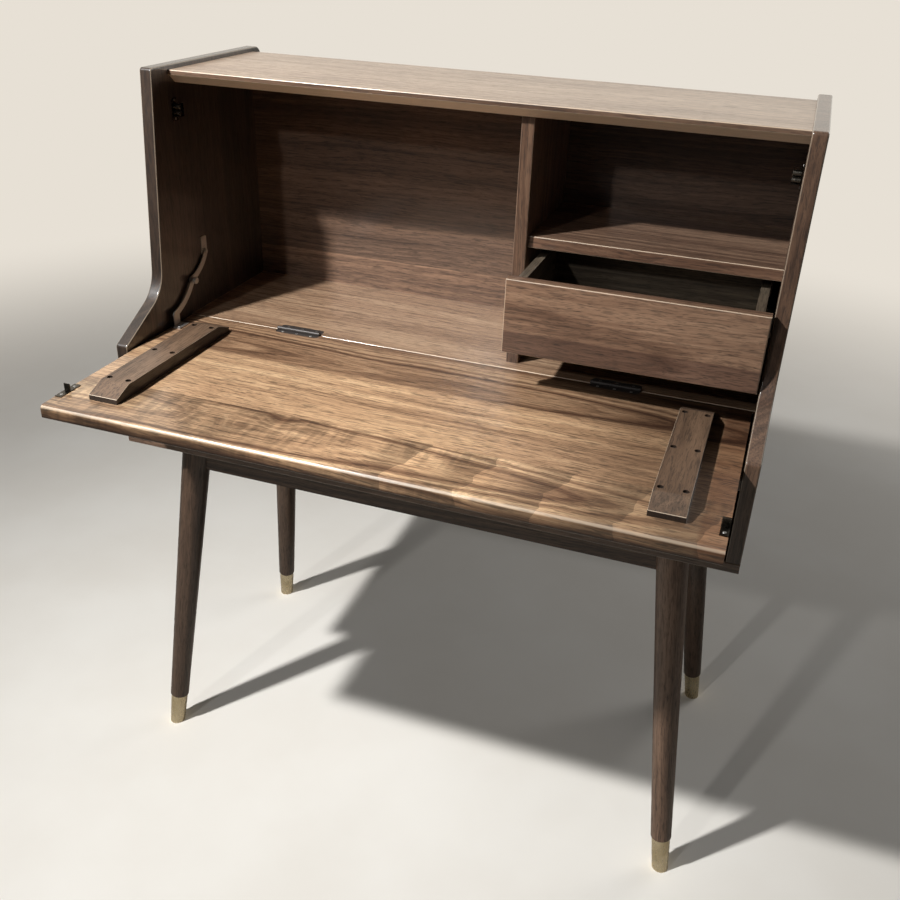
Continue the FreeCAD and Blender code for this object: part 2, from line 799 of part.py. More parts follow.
def make_leg(is_front):
    """Left leg with mortises for its two rails."""
    return make_leg_blank(is_front).cut(make_cross_rail(is_front)).cut(make_side_rail())


def add_pair(parts, name, shape):
    """Add the left piece under its name and the same piece mirrored to the right."""
    parts[name + "_left"] = shape
    parts[name + "_right"] = mirrored(shape)


def case_parts():
    """Boards of the case and the underframe that carries it."""
    parts = {
        "top_board": make_top_board(),
        "bottom_board": make_bottom_board(),
        "ledge_board": make_ledge_board(),
        "writing_board": make_writing_board(),
        "back_panel": make_back_panel(),
        "divider": make_divider(),
        "shelf": make_shelf(),
        "front_rail": make_cross_rail(True),
        "back_rail": make_cross_rail(False),
    }
    add_pair(parts, "side_panel", make_side_panel())
    add_pair(parts, "side_rail", make_side_rail())
    for name, is_front in (("front", True), ("back", False)):
        add_pair(parts, "leg_" + name, make_leg(is_front))
        add_pair(parts, "ferrule_" + name, make_ferrule(is_front))
    return parts


def flap_parts():
    """The flap with its battens, hinges, catches and strikes."""
    parts = {"flap_board": make_flap_board()}
    add_pair(parts, "batten", make_batten())
    add_pair(parts, "batten_screws", make_batten_screws())
    add_pair(parts, "strike", make_strike())
    add_pair(parts, "catch", make_catch())
    for side, centre in hinge_places().items():
        parts["hinge_plate_" + side] = make_hinge_half(centre, 0, hinge_plate_reach, 0,
                                                       hinge_pin_radius)
        parts["hinge_leaf_" + side] = make_hinge_half(centre, 1, 0, hinge_leaf_reach,
                                                      hinge_pin_radius + pivot_clearance)
        parts["hinge_pin_" + side] = make_hinge_pin(centre)
    for place, direction in (("bottom", -1), ("top", 1)):
        roller = make_roller(direction)
        parts["catch_roller_left_" + place] = roller
        parts["catch_roller_right_" + place] = mirrored(roller)
    return parts


def drawer_parts():
    """The drawer and both halves of its slides."""
    return {
        "drawer_front": make_drawer_front(),
        "drawer_side_left": make_drawer_side(drawer_left),
        "drawer_side_right": make_drawer_side(drawer_right - drawer_side_thickness),
        "drawer_back": make_drawer_back(),
        "drawer_bottom": make_drawer_bottom(),
        "slide_rail_left": make_slide_rail(divider_right, 1),
        "slide_rail_right": make_slide_rail(panel_inner, -1),
        "slide_runner_left": make_slide_runner(divider_right, 1),
        "slide_runner_right": make_slide_runner(panel_inner, -1),
    }


def stay_parts():
    """The folding stay on the left."""
    return {
        "stay_wall_bracket": make_stay_wall_bracket(),
        "stay_upper_arm": make_stay_upper_arm(),
        "stay_lower_arm": make_stay_lower_arm(),
        "stay_flap_bracket": make_stay_flap_bracket(),
    }


def main():
    """Build every piece and write it to its own STEP file."""
    os.makedirs("parts", exist_ok=True)
    parts = {**case_parts(), **flap_parts(), **drawer_parts(), **stay_parts()}
    for name, shape in parts.items():
        shape.exportStep(os.path.join("parts", name + ".step"))
        print(name, shape.isValid(), len(shape.Solids), round(shape.Volume))
    print("pieces", len(parts))
    print("hinge axis", hinge_axis_y, hinge_axis_z)
    print("stay pivots", stay_pivots())


main()
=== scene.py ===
"""Looks of the fall-front desk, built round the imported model.

The boards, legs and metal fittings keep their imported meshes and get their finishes
here. Screws, turned rollers, the stay's knob and the corner braces are added.
Everything is in metres: X to the right, Y to the back, Z up, with the floor at zero.
"""

import logging
import math
from dataclasses import dataclass, replace
from enum import Enum

import bmesh
import bpy
from mathutils import Euler, Matrix, Vector


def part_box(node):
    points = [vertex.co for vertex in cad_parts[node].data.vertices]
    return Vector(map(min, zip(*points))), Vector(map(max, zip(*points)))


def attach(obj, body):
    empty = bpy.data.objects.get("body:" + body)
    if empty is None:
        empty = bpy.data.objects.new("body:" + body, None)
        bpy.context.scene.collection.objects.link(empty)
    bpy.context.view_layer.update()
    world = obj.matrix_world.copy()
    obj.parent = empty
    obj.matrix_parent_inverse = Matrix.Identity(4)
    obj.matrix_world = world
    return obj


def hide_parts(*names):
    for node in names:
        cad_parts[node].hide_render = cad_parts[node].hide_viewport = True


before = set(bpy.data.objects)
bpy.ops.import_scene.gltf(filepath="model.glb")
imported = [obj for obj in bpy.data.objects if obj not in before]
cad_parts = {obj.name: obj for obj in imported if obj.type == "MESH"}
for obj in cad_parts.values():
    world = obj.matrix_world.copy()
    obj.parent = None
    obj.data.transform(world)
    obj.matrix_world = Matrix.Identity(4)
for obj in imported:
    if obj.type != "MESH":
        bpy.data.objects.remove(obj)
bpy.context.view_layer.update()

LOG = logging.getLogger("desk")
SIDES = ("left", "right")
UP = Vector((0.0, 0.0, 1.0))
SHARP_ANGLE = math.radians(40)
MERGE_DISTANCE = 1e-6

Colour = tuple[float, float, float]
Place = tuple[float, float, float]
Socket = bpy.types.NodeSocket


def linear(red: int, green: int, blue: int) -> Colour:
    """Turn a screen colour into the linear one that a shader takes.

    Args:
        red: Red part, 0 to 255.
        green: Green part, 0 to 255.
        blue: Blue part, 0 to 255.

    Returns:
        The three linear parts, 0 to 1.
    """
    parts = []
    for part in (red, green, blue):
        share = part / 255
        low = share <= 0.04045
        parts.append(share / 12.92 if low else ((share + 0.055) / 1.055) ** 2.4)
    return (parts[0], parts[1], parts[2])


class Nodes:
    """A node tree under construction."""

    def __init__(self, tree: bpy.types.NodeTree) -> None:
        """Take up a tree.

        Args:
            tree: The tree.
        """
        self.tree = tree

    def feed(self, node: bpy.types.Node, socket: int | str, value: object) -> None:
        """Link a socket's value, or write it where it is a number, colour or vector.

        Args:
            node: Node that is fed.
            socket: Index or name of its input.
            value: An output socket, a number, or a tuple of numbers.
        """
        target = node.inputs[socket]
        if isinstance(value, bpy.types.NodeSocket):
            self.tree.links.new(value, target)
        elif target.type == "RGBA":
            target.default_value = (*value, 1.0)
        else:
            target.default_value = value

    def made(self, kind: str, inputs: dict[int | str, object] | None = None,
             **choices: object) -> bpy.types.Node:
        """Make a node.

        Args:
            kind: Kind of node, as Blender spells it.
            inputs: What feeds its inputs, by index or name.
            **choices: Its options.

        Returns:
            The node.
        """
        node = self.tree.nodes.new(kind)
        for name, choice in choices.items():
            setattr(node, name, choice)
        for socket, value in (inputs or {}).items():
            self.feed(node, socket, value)
        return node

    def part(self, where: Socket, axis: int) -> Socket:
        """One part of a vector.

        Args:
            where: The vector.
            axis: 0 for X, 1 for Y, 2 for Z.

        Returns:
            The part.
        """
        return self.made("ShaderNodeSeparateXYZ", {0: where}).outputs[axis]

    def number(self, operation: str, first: object, second: object) -> Socket:
        """Arithmetic on numbers.

        Args:
            operation: Name of the operation, as Blender spells it.
            first: First number.
            second: Second number.

        Returns:
            The result.
        """
        node = self.made("ShaderNodeMath", {0: first, 1: second}, operation=operation)
        return node.outputs["Value"]

    def vector(self, operation: str, first: object, second: object) -> Socket:
        """Vector arithmetic.

        Args:
            operation: Name of the operation, as Blender spells it.
            first: First vector.
            second: Second vector.

        Returns:
            The result, a number for LENGTH and a vector otherwise.
        """
        node = self.made("ShaderNodeVectorMath", {0: first, 1: second}, operation=operation)
        return node.outputs["Value" if operation == "LENGTH" else "Vector"]


class Pattern(Nodes):
    """A node material under construction, read on Object coordinates."""

    def __init__(self, name: str) -> None:
        """Start a material.

        Args:
            name: Name of the material.
        """
        self.material = bpy.data.materials.new(name)
        self.material.use_nodes = True
        super().__init__(self.material.node_tree)
        self.shader = self.tree.nodes["Principled BSDF"]

    def raw(self) -> Socket:
        """Object coordinates as they are.

        Returns:
            The coordinates.
        """
        return self.made("ShaderNodeTexCoord").outputs["Object"]

    def normal(self) -> Socket:
        """Normal of the surface, as the piece stands at rest.

        Returns:
            The normal.
        """
        return self.made("ShaderNodeTexCoord").outputs["Normal"]

    def place(self, turn: Euler, shift: Vector) -> Socket:
        """Object coordinates, turned and then shifted.

        Args:
            turn: Turn that lays the grain along X.
            shift: Shift that follows the turn, in metres.

        Returns:
            The turned coordinates.
        """
        inputs = {"Vector": self.raw(), "Rotation": turn, "Location": shift}
        return self.made("ShaderNodeMapping", inputs).outputs["Vector"]

    def noise(self, where: object, stretch: Place, detail: float, roughness: float = 0.5,
              output: str = "Fac") -> Socket:
        """Noise in space.

        Args:
            where: Coordinates in metres.
            stretch: Features to a metre along each axis.
            detail: Octaves of finer noise.
            roughness: Share of the finer noise.
            output: Fac for one value, or Color for three.

        Returns:
            A value from 0 to 1 that is seldom far from a half, or three of them.
        """
        inputs = {"Vector": self.vector("MULTIPLY", where, stretch), "Scale": 1.0,
                  "Detail": detail, "Roughness": roughness}
        return self.made("ShaderNodeTexNoise", inputs).outputs[output]

    def sway(self, where: Socket, stretch: Place, reach: float) -> Socket:
        """Coordinates that wander across the grain.

        Args:
            where: Coordinates with the grain along X.
            stretch: Wanderings to a metre along each axis.
            reach: Reach of the wandering in metres.

        Returns:
            The wandering coordinates.
        """
        wander = self.noise(where, stretch, 2.0, output="Color")
        centred = self.vector("SUBTRACT", wander, (0.5, 0.5, 0.5))
        return self.vector("ADD", where, self.vector("MULTIPLY", centred, (0.0, reach, reach)))

    def lines(self, where: object, density: float, detail: float, roughness: float = 0.5) -> Socket:
        """Noise along one number, which draws lines of uneven width.

        Args:
            where: Distance in metres.
            density: Lines to a metre.
            detail: Octaves of finer lines.
            roughness: Share of the finer lines.

        Returns:
            A value from 0 to 1.
        """
        inputs = {"W": self.number("MULTIPLY", where, density), "Scale": 1.0, "Detail": detail,
                  "Roughness": roughness}
        return self.made("ShaderNodeTexNoise", inputs, noise_dimensions="1D").outputs["Fac"]

    def damped(self, value: Socket, force: object) -> Socket:
        """Draw a value towards a half.

        Args:
            value: Value from 0 to 1.
            force: Share of its swing that is kept.

        Returns:
            The damped value.
        """
        swing = self.number("MULTIPLY", self.number("SUBTRACT", value, 0.5), force)
        return self.number("ADD", swing, 0.5)

    def span(self, value: object, low: float, high: float,
             to_low: float = 0.0, to_high: float = 1.0) -> Socket:
        """Stretch a range of values to another range, held at its ends.

        Args:
            value: Value to stretch.
            low: Value that becomes to_low.
            high: Value that becomes to_high.
            to_low: Result at low.
            to_high: Result at high.

        Returns:
            The stretched value.
        """
        inputs = {"Value": value, "From Min": low, "From Max": high, "To Min": to_low,
                  "To Max": to_high}
        node = self.made("ShaderNodeMapRange", inputs, interpolation_type="SMOOTHSTEP")
        return node.outputs["Result"]

    def ramp(self, value: object, stops: list[tuple[float, Colour]]) -> Socket:
        """Colours along a value.

        Args:
            value: Value from 0 to 1.
            stops: Places from 0 to 1 and their linear colours.

        Returns:
            The colour.
        """
        node = self.made("ShaderNodeValToRGB", {"Fac": value})
        elements = node.color_ramp.elements
        while len(elements) < len(stops):
            elements.new(0.5)
        for element, (place, colour) in zip(elements, stops):
            element.position = place
            element.color = (*colour, 1.0)
        return node.outputs["Color"]

    def blend(self, mode: str, share: object, under: object, over: object) -> Socket:
        """Lay one colour over another.

        Args:
            mode: Name of the blend, as Blender spells it.
            share: Share of the upper colour.
            under: Lower colour.
            over: Upper colour.

        Returns:
            The blended colour.
        """
        inputs = {"Factor": share, 6: under, 7: over}
        return self.made("ShaderNodeMix", inputs, data_type="RGBA", blend_type=mode).outputs[2]

    def grey(self, value: object) -> Socket:
        """A colour with the same number in all three parts.

        Args:
            value: The number.

        Returns:
            The colour.
        """
        return self.made("ShaderNodeCombineColor", {0: value, 1: value, 2: value}).outputs["Color"]

    def bump(self, height: object, strength: float, depth: float) -> None:
        """Raise the surface by a height from 0 to 1.

        Args:
            height: The height.
            strength: Strength of the bump, 0 to 1.
            depth: Depth in metres that a height of 1 stands for.
        """
        inputs = {"Strength": strength, "Distance": depth, "Height": height}
        self.set(Normal=self.made("ShaderNodeBump", inputs).outputs["Normal"])

    def set(self, **values: object) -> None:
        """Write or link inputs of the shader.

        Args:
            **values: Inputs by name, with _ for a space.
        """
        for name, value in values.items():
            self.feed(self.shader, name.replace("_", " "), value)


class Grain(Enum):
    """Direction that a board's grain runs in."""

    ACROSS = (1.0, 0.0, 0.0)
    DEEP = (0.0, 1.0, 0.0)
    UPRIGHT = (0.0, 0.0, 1.0)


class Side(Enum):
    """Axis of a board's box, and the side of it that a strip starts from."""

    RIGHT = (0, -1)
    BOTTOM = (2, 1)


@dataclass(frozen=True)
class Strip:
    """Strip of a board with a tone of its own, such as a stained edge."""

    side: Side
    start: float
    stop: float
    tint: Colour
    soft: float = 0.0006
    fore: bool = False
    fore_turn: tuple[float, float] = (-0.6, -0.4)

    def laid(self, pattern: Pattern, colour: Socket, low: Vector, high: Vector) -> Socket:
        """Lay the strip over a board's colour.

        Args:
            pattern: Material under construction.
            colour: The board's colour.
            low: Lowest corner of the board.
            high: Highest corner of the board.

        Returns:
            The colour with the strip.
        """
        axis, way = self.side.value
        face = low[axis] if way > 0 else high[axis]
        value = pattern.part(pattern.raw(), axis)
        stop, start = (face + way * reach for reach in (self.stop, self.start))
        soft = way * self.soft
        mask = pattern.span(value, stop - soft, stop + soft, 1.0, 0.0)
        if self.start > 0:
            outer = pattern.span(value, start - soft, start + soft)
            mask = pattern.number("MULTIPLY", mask, outer)
        if self.fore:
            facing = pattern.span(pattern.part(pattern.normal(), 1), *self.fore_turn, 1.0, 0.0)
            mask = pattern.number("MULTIPLY", mask, facing)
        return pattern.blend("MULTIPLY", mask, colour, self.tint)


@dataclass(frozen=True)
class Leaf:
    """Leaf of veneer that lies in front of a line, with what sets it off from the last one."""

    line: float
    shift: Place
    tint: Colour
    calm: float = 0.0
    curl: float = 0.0
    patch: float = 0.0
    # Tone of the painted shade towards the flap's left end, 1 for none.
    painted_shade: float = 1.0
    soft: float = 0.0003

    def past(self, pattern: Pattern) -> Socket:
        """Mask of the leaf and of all in front of it.

        Args:
            pattern: Material under construction.

        Returns:
            1 in front of the line and 0 behind it.
        """
        value = pattern.part(pattern.raw(), 1)
        return pattern.span(value, self.line - self.soft, self.line + self.soft, 1.0, 0.0)


@dataclass(frozen=True)
class Knot:
    """Eye in the grain, which the rings run round."""

    x: float
    y: float
    reach: float
    rise: float
    stretch: Place = (0.7, 1.0, 0.0)

    def lift(self, pattern: Pattern) -> Socket:
        """Lift of the rings round the knot.

        Args:
            pattern: Material under construction.

        Returns:
            The lift in metres.
        """
        away = pattern.vector("SUBTRACT", pattern.raw(), (self.x, self.y, 0.0))
        flat = pattern.vector("MULTIPLY", away, self.stretch)
        distance = pattern.vector("LENGTH", flat, (0.0, 0.0, 0.0))
        return pattern.span(distance, 0.0, self.reach, self.rise, 0.0)


@dataclass(frozen=True)
class Walnut:
    """Lacquered walnut, from its darkest late wood to its palest early wood."""

    name: str
    dark: Colour
    middle: Colour
    pale: Colour
    roughness: float = 0.42
    coat: float = 0.8
    coat_roughness: float = 0.14
    ring_density: float = 130.0
    ring_share: float = 0.45
    tone_density: float = 24.0
    tone_share: float = 0.45
    cloud_share: float = 0.5
    cloud_grain: Place = (2.4, 13.0, 13.0)
    streak_share: float = 0.6
    streak_grain: Place = (6.0, 230.0, 230.0)
    sways: tuple[tuple[Place, float], ...] = (((1.7, 6.0, 6.0), 0.034),
                                              ((9.0, 34.0, 34.0), 0.007))
    contrast: float = 0.14
    fleck_grain: Place = (30.0, 430.0, 430.0)
    fleck_depth: float = 0.4
    pore_grain: Place = (70.0, 1100.0, 1100.0)
    pore_depth: float = 0.4
    dull: float = 0.12
    shine: float = 0.03
    bump_strength: float = 0.22
    bump_depth: float = 0.0003
    edge: Colour = (1.0, 1.0, 1.0)
    edge_turn: tuple[float, float] = (0.3, 0.6)
    # The next four set a painted highlight: a pale band along the rounded arrises.
    painted_highlight: float = 0.0
    painted_highlight_tone: Colour = linear(224, 204, 178)
    painted_highlight_rise: tuple[float, float] = (0.25, 0.6)
    painted_highlight_fall: tuple[float, float] = (0.8, 0.9)
    leaves: tuple[Leaf, ...] = ()
    knots: tuple[Knot, ...] = ()
    curl_clouds: Place = (4.0, 9.0, 9.0)
    curl_grain: Place = (95.0, 17.0, 17.0)
    patch_period: float = 0.1
    patch_lean: float = 0.29
    patch_start: float = 0.0435
    patch_grain: Place = (9.0, 40.0, 40.0)
    patch_wander: float = 0.03
    patch_reach: tuple[float, float] = (-0.01, 0.04)
    # X over which a leaf's painted shade fades out towards the middle.
    painted_shade_reach: tuple[float, float] = (-0.24, -0.04)

    def made(self, name: str, along: Vector, box: tuple[Vector, Vector], heart: tuple[float, float],
             tilt: tuple[float, float], strips: tuple[Strip, ...] = ()) -> bpy.types.Material:
        """Make the material of one board.

        Args:
            name: Name of the board.
            along: Direction of the grain.
            box: Lowest and highest corner of the board.
            heart: Metres from the board's middle to the heart of the tree, across and through.
            tilt: Degrees that the tree leans to the board, across and through.
            strips: Strips with their own tone.

        Returns:
            The material.
        """
        pattern = Pattern(f"{self.name}_{name}")
        low, high = box
        centre = (low + high) / 2
        lean = Euler((0.0, math.radians(tilt[1]), math.radians(tilt[0])))
        turn = lean.to_quaternion() @ along.rotation_difference(Vector((1.0, 0.0, 0.0)))
        drift = sum(ord(letter) * (index + 1) for index, letter in enumerate(name)) % 97
        shift = Vector((drift * 0.37, heart[0], heart[1])) - turn @ centre
        place = pattern.place(turn.to_euler(), shift)
        for leaf in self.leaves:
            step = pattern.vector("MULTIPLY", pattern.grey(leaf.past(pattern)), leaf.shift)
            place = pattern.vector("ADD", place, step)
        colour, height = self._figure(pattern, place)
        for leaf in self.leaves:
            colour = self._leaf(pattern, place, colour, leaf)
        for strip in strips:
            colour = strip.laid(pattern, colour, low, high)
        colour = self._edges(pattern, colour, high - low)
        rough = pattern.span(height, 0.4, 1.0, self.roughness + self.dull,
                             self.roughness - self.shine)
        pattern.set(Base_Color=colour, Roughness=rough, Coat_Weight=self.coat,
                    Coat_Roughness=self.coat_roughness)
        pattern.bump(height, self.bump_strength, self.bump_depth)
        return pattern.material

    def _figure(self, pattern: Pattern, place: Socket) -> tuple[Socket, Socket]:
        """Rings, broad tones, clouds, streaks, flecks and pores.

        Args:
            pattern: Material under construction.
            place: Coordinates with the tree's heart along X.

        Returns:
            The colour and the height.
        """
        wavy = place
        for stretch, reach in self.sways:
            wavy = pattern.sway(wavy, stretch, reach)
        flat = pattern.vector("MULTIPLY", wavy, (0.0, 1.0, 1.0))
        radius = pattern.vector("LENGTH", flat, (0.0, 0.0, 0.0))
        for knot in self.knots:
            radius = pattern.number("ADD", radius, knot.lift(pattern))
        force = 1.0
        for leaf in self.leaves:
            change = pattern.number("MULTIPLY", leaf.past(pattern), leaf.calm)
            force = pattern.number("SUBTRACT", force, change)
        rings = pattern.lines(radius, self.ring_density, 3.0, 0.55)
        tones = pattern.lines(radius, self.tone_density, 1.0)
        layers = (
            (self.ring_share, pattern.damped(rings, force)),
            (self.tone_share, pattern.damped(tones, force)),
            (self.cloud_share, pattern.noise(wavy, self.cloud_grain, 3.0)),
            (self.streak_share, pattern.noise(wavy, self.streak_grain, 4.0, 0.68)),
        )
        shares = sum(share for share, layer in layers)
        total = pattern.number("MULTIPLY", layers[0][1], layers[0][0] / shares)
        for share, layer in layers[1:]:
            total = pattern.number("ADD", total, pattern.number("MULTIPLY", layer, share / shares))
        level = pattern.span(total, 0.5 - self.contrast, 0.5 + self.contrast)
        colour = pattern.ramp(level, [(0.0, self.dark), (0.5, self.middle), (1.0, self.pale)])
        flecks = pattern.noise(wavy, self.fleck_grain, 2.0)
        fleck = pattern.span(flecks, 0.52, 0.64, 1.0, 1.0 - self.fleck_depth)
        pores = pattern.noise(wavy, self.pore_grain, 1.0)
        pore = pattern.span(pores, 0.56, 0.68, 1.0, 1.0 - self.pore_depth)
        height = pattern.number("MULTIPLY", fleck, pore)
        colour = pattern.blend("MULTIPLY", 1.0, colour, pattern.grey(height))
        return colour, height

    def _leaf(self, pattern: Pattern, place: Socket, colour: Socket, leaf: Leaf) -> Socket:
        """Lay a leaf's tone, its curls, its slanted patches and its painted shade over the figure.

        Args:
            pattern: Material under construction.
            place: Coordinates with the tree's heart along X.
            colour: Colour of the figure.
            leaf: The leaf.

        Returns:
            The colour with the leaf.
        """
        past = leaf.past(pattern)
        colour = pattern.blend("MULTIPLY", past, colour, leaf.tint)
        # Painted shade: the leaf darkens towards the flap's left end.
        if leaf.painted_shade != 1.0:
            side = pattern.span(pattern.part(pattern.raw(), 0), *self.painted_shade_reach)
            tone = pattern.span(side, 0.0, 1.0, leaf.painted_shade, 1.0)
            colour = pattern.blend("MULTIPLY", past, colour, pattern.grey(tone))
        if leaf.curl:
            where = pattern.span(pattern.noise(place, self.curl_clouds, 1.0), 0.42, 0.6)
            curls = pattern.noise(place, self.curl_grain, 2.0)
            shade = pattern.span(curls, 0.38, 0.62, 1.0 - leaf.curl, 1.0)
            share = pattern.number("MULTIPLY", where, past)
            colour = pattern.blend("MULTIPLY", share, colour, pattern.grey(shade))
        if leaf.patch:
            slant = pattern.vector("MULTIPLY", pattern.raw(), (1.0, -self.patch_lean, 0.0))
            whole = pattern.number("ADD", pattern.part(slant, 0), pattern.part(slant, 1))
            wander = pattern.noise(place, self.patch_grain, 1.0)
            wander = pattern.number("MULTIPLY", wander, self.patch_wander)
            whole = pattern.number("ADD", whole, wander)
            whole = pattern.number("SUBTRACT", whole, self.patch_start + self.patch_wander / 2)
            saw = pattern.number("FRACT", pattern.number("DIVIDE", whole, self.patch_period), 0.0)
            shade = pattern.span(saw, 0.0, 0.8, 1.0 + leaf.patch / 2, 1.0 - leaf.patch)
            reach = pattern.span(pattern.part(pattern.raw(), 0), *self.patch_reach)
            share = pattern.number("MULTIPLY", reach, past)
            colour = pattern.blend("MULTIPLY", share, colour, pattern.grey(shade))
        return colour

    def _edges(self, pattern: Pattern, colour: Socket, size: Vector) -> Socket:
        """Tint the edges of a board and paint pale highlights on its arrises.

        Args:
            pattern: Material under construction.
            colour: Colour of the board's faces.
            size: Size of the board's box.

        Returns:
            The colour with the edges.
        """
        thin = min(range(3), key=lambda axis: size[axis])
        flat = pattern.number("ABSOLUTE", pattern.part(pattern.normal(), thin), 0.0)
        if self.edge != (1.0, 1.0, 1.0):
            edges = pattern.span(flat, *self.edge_turn, 1.0, 0.0)
            colour = pattern.blend("MULTIPLY", edges, colour, self.edge)
        # Painted highlight: a pale band where the normal turns between the faces.
        if self.painted_highlight:
            rise = pattern.span(flat, *self.painted_highlight_rise)
            painted_falloff = pattern.span(flat, *self.painted_highlight_fall, self.painted_highlight, 0.0)
            colour = pattern.blend("MIX", pattern.number("MULTIPLY", rise, painted_falloff), colour,
                                   self.painted_highlight_tone)
        return colour


@dataclass(frozen=True)
class Metal:
    """Metal with fine worn patches and an uneven gloss."""

    name: str
    colour: Colour
    worn: Colour
    roughness: float
    metallic: float = 1.0
    shine: float = 0.5
    wear_density: float = 22.0
    speckle: float = 90.0
    brush: Place = (1.0, 1.0, 1.0)
    bump_strength: float = 0.08
    bump_depth: float = 0.0002

    def made(self) -> bpy.types.Material:
        """Make the material, or find it where it is made already.

        Returns:
            The material.
        """
        known = bpy.data.materials.get(self.name)
        if known:
            return known
        pattern = Pattern(self.name)
        place = pattern.raw()
        stretch = tuple(self.speckle * part for part in self.brush)
        fine = pattern.noise(place, stretch, 4.0, 0.6)
        share = pattern.span(pattern.noise(place, (self.wear_density,) * 3, 3.0), 0.35, 0.7)
        colour = pattern.blend("MIX", share, self.colour, self.worn)
        rough = pattern.span(fine, 0.3, 0.7, self.roughness * 0.75, self.roughness * 1.3)
        pattern.set(Base_Color=colour, Metallic=self.metallic, Roughness=rough,
                    Specular_IOR_Level=self.shine)
        pattern.bump(fine, self.bump_strength, self.bump_depth)
        return pattern.material


FACE_WALNUT = Walnut("face_walnut", linear(126, 97, 75), linear(165, 134, 107),
                     linear(190, 160, 130), edge=(0.7, 0.66, 0.64), painted_highlight=0.6)
FLAP_LEAVES = (
    Leaf(-0.074, (4.3, 0.33, 0.05), (1.8, 1.92, 1.92), calm=0.78, painted_shade=0.86),
    Leaf(-0.234, (3.1, -0.087, -0.05), (1.04, 1.04, 1.04), calm=-0.56, curl=0.34, patch=0.32,
         painted_shade=0.8),
)
FLAP_KNOTS = (
    Knot(-0.243, -0.289, 0.038, 0.012),
    Knot(-0.143, -0.256, 0.03, 0.009),
)
FLAP_WALNUT = Walnut("flap_walnut", linear(86, 60, 44), linear(150, 117, 89),
                     linear(184, 151, 118), ring_density=190.0, ring_share=0.9,
                     tone_density=52.0, tone_share=1.2, streak_share=0.6, contrast=0.115,
                     coat_roughness=0.2, fleck_depth=0.5, edge=(0.5, 0.46, 0.44), painted_highlight=0.36,
                     leaves=FLAP_LEAVES, knots=FLAP_KNOTS)
TOP_WALNUT = Walnut("top_walnut", linear(138, 111, 90), linear(176, 148, 123),
                    linear(196, 170, 146), coat_roughness=0.26, edge=(0.34, 0.29, 0.27),
                    painted_highlight=0.7)
BACK_WALNUT = Walnut("back_walnut", linear(68, 51, 41), linear(98, 76, 61),
                     linear(122, 96, 78))
DRAWER_WALNUT = Walnut("drawer_walnut", linear(80, 57, 44), linear(128, 99, 79),
                       linear(162, 131, 106), tone_density=40.0, streak_share=0.5,
                       fleck_depth=0.4, pore_depth=0.5, painted_highlight=0.6)
INSIDE_WALNUT = Walnut("inside_walnut", linear(66, 57, 47), linear(96, 85, 71),
                       linear(118, 106, 89), coat=0.2)
SHELF_WALNUT = Walnut("shelf_walnut", linear(86, 63, 51), linear(130, 103, 84),
                      linear(157, 128, 105), edge=(0.76, 0.68, 0.64), painted_highlight=0.6)
DIVIDER_WALNUT = replace(SHELF_WALNUT, name="divider_walnut", edge=(0.56, 0.51, 0.48),
                         painted_highlight=0.1)
# The battens' sides and ends are darkened to about a fifth of their tone, as painted shade.
BATTEN_WALNUT = Walnut("batten_walnut", linear(60, 46, 36), linear(92, 72, 56),
                       linear(118, 94, 74), roughness=0.5, coat=0.25, tone_density=60.0,
                       cloud_share=0.8, edge=(0.2, 0.18, 0.17), painted_highlight=0.6)
DARK_WALNUT = Walnut("dark_walnut", linear(54, 42, 34), linear(80, 63, 52),
                     linear(103, 83, 68), painted_highlight=0.35)
# The left panel wears a darker copy of dark_walnut, as painted shade.
PAINTED_SHADE_LEFT_WALNUT = replace(DARK_WALNUT, name="painted_shade_left_walnut", dark=linear(38, 30, 24),
                      middle=linear(57, 45, 37), pale=linear(75, 60, 49))
# The bottom board's edges are brightened to about twice their tone, as painted light.
PAINTED_LIGHT_BOTTOM_WALNUT = replace(DARK_WALNUT, name="painted_light_bottom_walnut", edge=(2.0, 1.9, 1.8))
RIGHT_WALNUT = replace(DARK_WALNUT, name="right_walnut", edge=(1.25, 1.14, 1.06), painted_highlight=0.25)
LEG_WALNUT = Walnut("leg_walnut", linear(48, 36, 29), linear(75, 57, 45),
                    linear(96, 75, 60), coat=0.4, coat_roughness=0.2)
# A paler copy of the leg walnut for the front right leg, as painted light.
PAINTED_LIGHT_LEG_WALNUT = Walnut("pale_leg_walnut", linear(74, 56, 45), linear(110, 86, 70),
                         linear(134, 107, 88), coat=0.4, coat_roughness=0.2)
BRASS = Metal("satin_brass", linear(246, 230, 196), linear(216, 198, 160), 0.3,
              metallic=0.85, speckle=60.0, brush=(9.0, 9.0, 1.0))
BRONZE = Metal("dark_bronze", linear(12, 11, 10), linear(7, 7, 6), 0.1, metallic=0.0,
               shine=0.3)
NICKEL = Metal("nickel", linear(206, 202, 194), linear(160, 156, 148), 0.2)
STEEL = Metal("dark_steel", linear(110, 102, 94), linear(68, 62, 56), 0.24)
STRIKE_STEEL = Metal("strike_steel", linear(96, 92, 85), linear(56, 52, 47), 0.3)
ROLLER_STEEL = Metal("roller_steel", linear(156, 151, 141), linear(112, 106, 98), 0.28)


def paint(node: str, material: bpy.types.Material) -> None:
    """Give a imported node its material.

    Args:
        node: Name of the node.
        material: Its material.
    """
    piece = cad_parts[node]
    piece.data.materials.clear()
    piece.data.materials.append(material)
    LOG.info("%s wears %s", node, material.name)


def panel(node: str, walnut: Walnut, grain: Grain, heart: tuple[float, float] = (0.0, 0.12),
          tilt: tuple[float, float] = (0.6, 1.2), strips: tuple[Strip, ...] = ()) -> None:
    """Give a packed board its walnut.

    Args:
        node: Name of the board's node.
        walnut: Its finish.
        grain: Direction of its grain.
        heart: Metres from its middle to the heart of the tree, across and through.
        tilt: Degrees that the tree leans to the board, across and through.
        strips: Strips with their own tone.
    """
    along = Vector(grain.value)
    paint(node, walnut.made(node, along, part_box(node), heart, tilt, strips))


